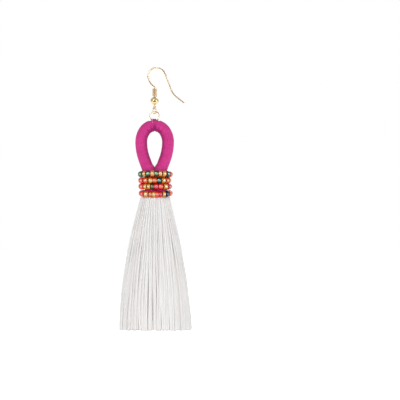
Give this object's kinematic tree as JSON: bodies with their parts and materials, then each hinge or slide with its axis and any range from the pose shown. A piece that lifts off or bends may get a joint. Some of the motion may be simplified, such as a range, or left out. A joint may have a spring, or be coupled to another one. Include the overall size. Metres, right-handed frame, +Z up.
{
  "type": "tassel earring",
  "caption": "Drop earring: fish-hook ear wire with coil and ball, jump ring, thread-wrapped loop, wound string of seed beads and a long thread tassel.",
  "frame": {"origin": "underside of the top of the hook's arch, where the ear carries it", "axes": "+Z up along the hanging drop, +X toward the hook's tail, -Y toward the front of the loop and beads"},
  "size_m": [0.0274, 0.0164, 0.1],
  "materials": {
    "gold_wire": "polished gold plate",
    "gold_ball": "polished gold plate",
    "ring_wire": "polished pale gold plate",
    "magenta_thread": "tightly wound silky thread",
    "glass_beads": "silver lined and iris glass seed beads",
    "white_thread": "soft matt thread"
  },
  "bodies": {
    "hook": {"ear_hook": "gold_wire", "hook_coil": "gold_wire", "hook_ball": "gold_ball"},
    "ring": {"jump_ring": "ring_wire"},
    "drop": {"wrapped_loop": "magenta_thread", "bead_string": "glass_beads", "tassel": "white_thread"}
  },
  "joints": [
    {"name": "ring_swing", "type": "hinge", "parent": "hook", "child": "ring", "pos_m": [-0.00079, 0, -0.01698], "axis": [0, 1, 0], "range_deg": [-60, 60]},
    {"name": "drop_swing", "type": "hinge", "parent": "ring", "child": "drop", "pos_m": [-0.00079, 0, -0.01965], "axis": [1, 0, 0], "range_deg": [-60, 60]}
  ]
}
